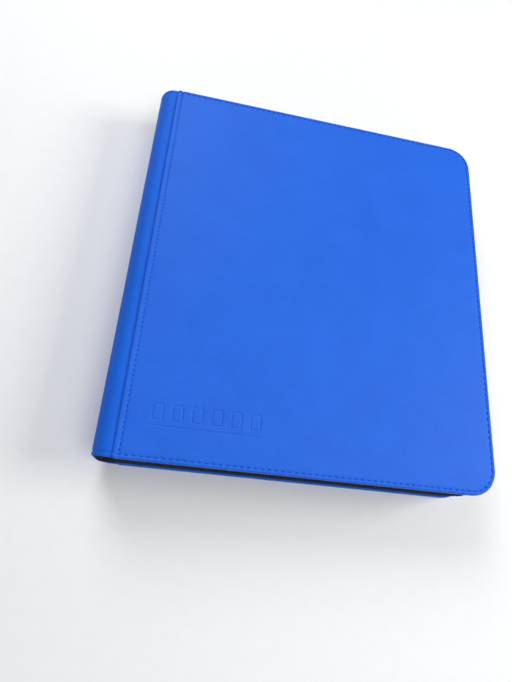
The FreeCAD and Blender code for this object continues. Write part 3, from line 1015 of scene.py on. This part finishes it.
def coil_row(name, lower, left_out, phase):
    """One row of the nylon coil, as a flattened helix that runs along the tape's edge."""
    path = tape_path(COIL_START)
    total = int((path.length - left_out) / COIL_PITCH) * COIL_PER_TURN
    half_deep = (COIL_DEEP - 2 * COIL_R) / 2
    middle_z = COIL_LOW + COIL_DEEP / 2
    centres = []
    for i in range(total + 1):
        angle = 2 * math.pi * (i / COIL_PER_TURN + phase)
        point, along = path.at(i / COIL_PER_TURN * COIL_PITCH)[:2]
        out = Vector((along.y, -along.x, 0)) * (COIL_HALF_THICK * math.cos(angle))
        centres.append(point + out + UP * (middle_z + half_deep * math.sin(angle)))
    verts = []
    for i, centre in enumerate(centres):
        tangent = (centres[min(i + 1, total)] - centres[max(i - 1, 0)]).normalized()
        side = tangent.cross(UP)
        if side.length < NEAR_VERTICAL:
            side = tangent.cross(ASLANT)
        side.normalize()
        other = tangent.cross(side)
        for k in range(COIL_SIDES):
            a = 2 * math.pi * k / COIL_SIDES
            verts.append(centre + side * (COIL_R * math.cos(a)) + other * (COIL_R * math.sin(a)))
    if lower:
        mirror(verts)
    return add(name, verts, tube_faces(0, COIL_SIDES, total + 1), COIL)


SAME_PLACE = 0.001 * MM
FLAT_ANGLE = math.radians(2)
SHARP_ANGLE = math.radians(35)
SLIDER_ROUND = 0.22 * MM
PULL_ROUND = 0.2 * MM


def softened_copy(name, source, width):
    """A CAD piece of the slider with its edges softened."""
    mesh = nodes[source].data.copy()
    work = bmesh.new()
    work.from_mesh(mesh)
    bmesh.ops.remove_doubles(work, verts=work.verts, dist=SAME_PLACE)
    bmesh.ops.dissolve_limit(work, angle_limit=FLAT_ANGLE, verts=work.verts, edges=work.edges)
    work.to_mesh(mesh)
    work.free()
    mesh.materials.clear()
    mesh.materials.append(METAL)
    obj = bpy.data.objects.new(name, mesh)
    bpy.context.scene.collection.objects.link(obj)
    bevel = obj.modifiers.new("soft_edges", "BEVEL")
    bevel.width = width
    bevel.segments = 3
    bevel.limit_method = "ANGLE"
    bevel.angle_limit = SHARP_ANGLE
    apply_modifiers(obj)
    obj.data.shade_smooth()
    return obj


def make_zipper():
    for name, lower, body in (("front_tape_cloth", False, "front_cover"),
                              ("back_tape_cloth", True, "back_cover")):
        tape = tape_half(name, lower)
        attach(tape, body)
        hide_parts(body.replace("cover", "zipper_tape"))
    for cover, lower, left_out, phase in (("front", False, SLIDER_ROOM, 0.0), ("back", True, 0.0, 0.5)):
        row = coil_row(cover + "_coil", lower, left_out, phase)
        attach(row, cover + "_cover")
        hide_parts(cover + "_zipper_teeth")
    for name, body, width in (("slider_cast", "slider", SLIDER_ROUND),
                              ("pull_tab_cast", "pull", PULL_ROUND)):
        part = softened_copy(name, "zipper_" + body, width)
        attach(part, body)
        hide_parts("zipper_" + body)
    for cover in ("front", "back"):
        # Painted shade: the bottom stops get the near-black tape cloth in place of metal, so they sit as
        # dark as the shaded zipper band.
        paint(cover + "_bottom_stop", TAPE_CLOTH)
        paint(cover + "_top_stop", METAL)


def paint(name, material):
    """Gives a CAD node its material."""
    mesh = nodes[name].data
    mesh.materials.clear()
    mesh.materials.append(material)


# ---- linings ----
LINING_START = 4.6 * MM  # past the seam
LINING_NEAR_EDGE = [2.0, 3.2, 5, 7.5, 11, 16.5]  # in mm
LINING_STEP = 7 * MM
LINING_LIFT = 0.05 * MM
LINING_TUCK = 0.5 * MM
LINING_TUCK_WIDE = 1.2 * MM
LINING_WAVE = 0.06 * MM
LINING_WAVES = 25
LINING_LAYER = 5.0


def flat_lining(name, lower):
    """The cover's lining cloth, tucked against the zipper tape."""
    start = SEAM_X + LINING_START
    xs = [start] + steps(start, FORE_X - CORNER_R, LINING_STEP)
    xs += [FORE_X - d * MM for d in reversed(LINING_NEAR_EDGE)]
    ys = edged(-HALF_H, HALF_H, LINING_NEAR_EDGE, LINING_STEP)
    verts = []
    for y in ys:
        for x in xs:
            px, py, inset = round_corner(x, y)
            tuck = LINING_TUCK * bell(inset - LINING_NEAR_EDGE[0] * MM, LINING_TUCK_WIDE)
            wave = LINING_WAVE * unevenness(px, py, LINING_WAVES, LINING_LAYER + lower)
            verts.append([px, py, LINING_Z + LINING_LIFT + tuck + wave])
    if lower:
        mirror(verts)
    lining = add(name, verts, grid_faces(len(xs), len(ys)), LINING)
    fix_normals(lining)
    return lining


HINGE_LINING = [  # distance from the spine's face and height, in mm, from the cover's lining to the spine's
    (16.6, 34.45), (16.0, 34.5), (15.5, 35.2), (15.0, 36.3), (14.2, 37.0), (12.0, 37.3), (9.8, 37.2),
    (8.2, 36.8), (6.6, 35.9), (5.4, 34.8), (4.6, 33.7), (4.75, 33.2), (4.8, 32.2),
]
HINGE_LINING_REACH = HALF_H - 6 * MM
HINGE_LINING_THICK = 0.35 * MM
HINGE_LINING_ROWS = 40


def hinge_lining(name, lower):
    """The lining where it turns from a cover to the spine."""
    verts = []
    ys = lines(-HINGE_LINING_REACH, HINGE_LINING_REACH, 2 * HINGE_LINING_REACH / HINGE_LINING_ROWS)
    for across, height in HINGE_LINING:
        verts += [[SPINE_X + across * MM, y, height * MM] for y in ys]
    if lower:
        mirror(verts)
    strip = add(name, verts, grid_faces(len(ys), len(HINGE_LINING)), LINING)
    solidify(strip, HINGE_LINING_THICK)
    fix_normals(strip)
    return strip


def make_linings():
    for cover, lower in (("front", False), ("back", True)):
        lining = flat_lining(cover + "_lining_cloth", lower)
        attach(lining, cover + "_cover")
        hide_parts(cover + "_lining")
        strip = hinge_lining(cover + "_hinge_lining", lower)
        low = (SPINE_X, 0, WRAP_CENTRE_Z)
        high = (WRAP_CENTRE_X, 0, STRIP_Z)
        if lower:
            low = (low[0], 0, TOP_Z - low[2])
            high = (high[0], 0, TOP_Z - high[2])
        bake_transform(strip)
    paint("spine_lining", LINING)


# ---- leaves ----
LEAVES = 10
GUTTER = 22 * MM
GUTTER_STEP = 2.2 * MM
SHEET_THICK = 0.45 * MM
SHEET_NEAR_EDGE = [0, 1.2, 3]  # in mm; the last is also the corner's radius
SHEET_CORNER = SHEET_NEAR_EDGE[-1] * MM
SHEET_STEP = 12 * MM
SHEET_HELD = 0.4 * MM  # inside the binding strip
WELD = 3.0 * MM
MOUTH = 1.5 * MM
FILM_THICK = 0.18 * MM
FILM_LIFT = 0.12 * MM
FILM_ROOM = 0.2 * MM
FILM_STEP = 11 * MM
FILM_NEAR_WELD = [0, 1.0, 2.2, 4.0]  # in mm
FILM_SLOPE = FILM_NEAR_WELD[-1] * MM
FILM_WAVE = 0.06 * MM
FILM_WAVES = 40
FILM_LAYERS = 900  # noise layers per metre of height


def leaf_backing(name, low, high):
    """A leaf's black backing sheet. Its gutter reaches into the binding strip."""
    strip_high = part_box("page_binding_strip")[1]
    z = (low.z + high.z) / 2
    inner_x = high.x - SHEET_CORNER
    inner_y = high.y - SHEET_CORNER
    xs = [strip_high.x - SHEET_HELD, strip_high.x, low.x]
    xs += steps(low.x, low.x + GUTTER, GUTTER_STEP) + [low.x + GUTTER]
    xs += steps(low.x + GUTTER, inner_x, SHEET_STEP)
    xs += [high.x - d * MM for d in reversed(SHEET_NEAR_EDGE)]
    ys = edged(low.y, high.y, SHEET_NEAR_EDGE, SHEET_STEP)
    verts = []
    for y in ys:
        for x in xs:
            limit = high.y
            if x > inner_x:
                over = x - inner_x
                limit = inner_y + math.sqrt(max(0.0, SHEET_CORNER ** 2 - over * over))
            verts.append([x, max(-limit, min(limit, y)), z])
    sheet = add(name, verts, grid_faces(len(xs), len(ys)), SHEET)
    solidify(sheet, SHEET_THICK)
    return sheet


TINY = 1e-9


def pocket_height(x, y, columns, rows, rise):
    """How far the film stands off the backing: down on the welds, full in the pockets."""
    best = 0.0
    for x0, x1 in columns:
        for y0, y1 in rows:
            if x0 - TINY <= x <= x1 + TINY and y0 <= y <= y1:
                edge = min(x1 - x, y - y0, y1 - y)
                best = max(best, min(1.0, edge / FILM_SLOPE))
    return rise * (1 - quarter_drop(1 - best)) if best > 0 else 0.0


def pocket_film(name, low, high, upper):
    """One clear film with two by two pockets, pressed down to the backing at its welds."""
    column = (high.x - low.x - 2 * WELD - MOUTH) / 2
    middle = low.x + column
    columns = [(low.x, middle), (middle + WELD + MOUTH, high.x - WELD)]
    rows = [(low.y + WELD, -WELD / 2), (WELD / 2, high.y - WELD)]
    xs = [middle + WELD, high.x]
    for x0, x1 in columns:
        xs += [x0] + [x1 - d * MM for d in FILM_NEAR_WELD]
        xs += steps(x0, x1 - FILM_SLOPE, FILM_STEP)
    ys = [low.y, high.y]
    for y0, y1 in rows:
        ys += [y0 + d * MM for d in FILM_NEAR_WELD] + [y1 - d * MM for d in FILM_NEAR_WELD]
        ys += steps(y0 + FILM_SLOPE, y1 - FILM_SLOPE, FILM_STEP)
    xs = sorted(set(round(x, 6) for x in xs))
    ys = sorted(set(round(y, 6) for y in ys))
    rise = high.z - low.z - FILM_ROOM
    base = low.z if upper else high.z
    sign = 1 if upper else -1
    verts = []
    for y in ys:
        for x in xs:
            lift = pocket_height(x, y, columns, rows, rise)
            ripple = FILM_WAVE * unevenness(x, y, FILM_WAVES, base * FILM_LAYERS)
            verts.append([x, y, base + sign * (FILM_LIFT + lift + ripple * (lift > 0))])
    slit_low = middle + WELD
    slit_high = middle + WELD + MOUTH
    kept = []
    for face in grid_faces(len(xs), len(ys)):
        centre_x = sum(verts[i][0] for i in face) / 4
        centre_y = sum(verts[i][1] for i in face) / 4
        in_slit = slit_low < centre_x < slit_high and any(y0 < centre_y < y1 for y0, y1 in rows)
        if not in_slit:
            kept.append(face if upper else tuple(reversed(face)))
    film = add(name, verts, kept, FILM)
    solidify(film, FILM_THICK)
    return film


def make_leaves():
    for number in range(1, LEAVES + 1):
        leaf = "leaf_%02d" % number
        low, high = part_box(leaf + "_backing")
        sheet = leaf_backing(leaf + "_sheet", low, high)
        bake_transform(sheet)
        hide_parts(leaf + "_backing")
        for side, upper in (("upper", True), ("lower", False)):
            name = leaf + "_" + side + "_pockets"
            film_low, film_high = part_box(name)
            film = pocket_film(leaf + "_" + side + "_film", film_low, film_high, upper)
            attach(film, leaf)
            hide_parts(name)
    paint("page_binding_strip", SHEET)


def paint_hidden():
    """Paints the stiffening layers."""
    for cover in ("front", "back"):
        paint(cover + "_board", GREYBOARD)
    paint("spine_foam_pad", FOAM)
    paint("spine_board", GREYBOARD)


# ---- studio ----
LIGHT_REACH = 1.3
FLOOR_HALF = 4.0


def area_light(name, azimuth, elevation, size, power, colour):
    """A soft box aimed at the binder. Azimuth 0 is on the fore-edge side and 90 at the head."""
    data = bpy.data.lights.new(name, "AREA")
    data.shape = "SQUARE"
    data.size = size
    data.energy = power
    data.color = colour
    light = bpy.data.objects.new(name, data)
    bpy.context.scene.collection.objects.link(light)
    turn = math.radians(azimuth)
    rise = math.radians(elevation)
    away = Vector((math.cos(turn) * math.cos(rise), math.sin(turn) * math.cos(rise), math.sin(rise)))
    light.location = away * LIGHT_REACH
    light.rotation_euler = away.to_track_quat("Z", "Y").to_euler()


def make_studio():
    floor_material, tree, shader = new_material("pale_floor")
    speck = texture(tree, "Noise", Scale=120.0, Detail=4.0)
    colour = ramp(tree, speck.outputs["Fac"], (0.86, 0.87, 0.88, 1), (0.90, 0.91, 0.92, 1))
    tree.links.new(colour, shader.inputs["Base Color"])
    shader.inputs["Roughness"].default_value = 0.6
    half = FLOOR_HALF
    corners = [(-half, -half, 0), (half, -half, 0), (half, half, 0), (-half, half, 0)]
    floor = add("floor", corners, [(0, 1, 2, 3)], floor_material)
    area_light("fore_edge_light", azimuth=3, elevation=35, size=0.5, power=9.8, colour=(1.0, 0.995, 0.985))
    area_light("head_light", azimuth=115, elevation=40, size=0.7, power=9.5, colour=(0.98, 0.99, 1.0))
    area_light("tail_light", azimuth=300, elevation=62, size=0.7, power=6.2, colour=(1.0, 1.0, 1.0))
    world = bpy.data.worlds.new("studio")
    bpy.context.scene.world = world
    world.use_nodes = True
    background = world.node_tree.nodes["Background"]
    background.inputs["Color"].default_value = (0.98, 0.985, 0.99, 1)
    background.inputs["Strength"].default_value = 0.14
    bpy.context.scene.view_settings.view_transform = "Standard"


make_camera()
make_covers()
make_wrap()
make_zipper()
make_linings()
make_leaves()
paint_hidden()
make_studio()
